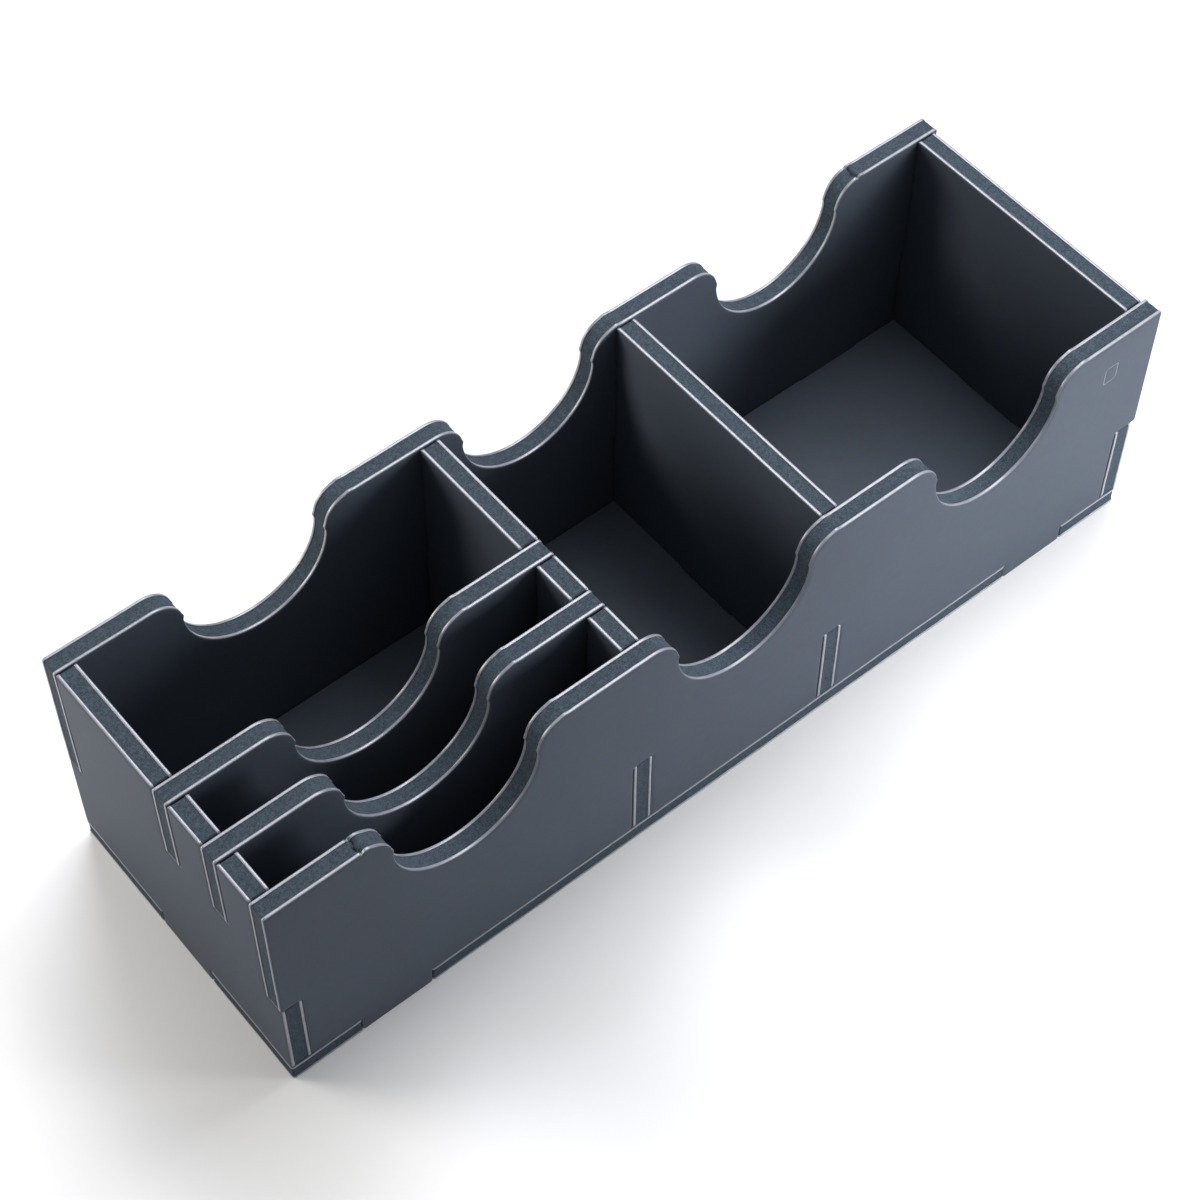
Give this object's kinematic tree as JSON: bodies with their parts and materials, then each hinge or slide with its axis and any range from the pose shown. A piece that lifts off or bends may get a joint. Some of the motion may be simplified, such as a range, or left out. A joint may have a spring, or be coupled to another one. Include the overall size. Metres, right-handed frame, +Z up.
{
  "type": "box insert organizer",
  "caption": "Long open tray of slotted foam board panels for inside a game box, with card slots, a tile bay and a sleeved-card bay, and rounded finger cut-outs.",
  "frame": {"origin": "on the table, under the middle of the tray's bounding box", "axes": "+X runs along the tray from the end with the narrow card slots to the other end, +Y from the front wall to the back wall, +Z up out of the open top"},
  "size_m": [0.2332, 0.0746, 0.065],
  "materials": {
    "foam_board": "matte dark slate grey skins with pale cut edges over a blue-grey foam core"
  },
  "bodies": {
    "root": {"base_panel": "foam_board", "front_wall": "foam_board", "back_wall": "foam_board", "left_end_wall": "foam_board", "right_end_wall": "foam_board", "left_cross_divider": "foam_board", "right_cross_divider": "foam_board", "front_card_divider": "foam_board", "rear_card_divider": "foam_board"}
  },
  "joints": []
}
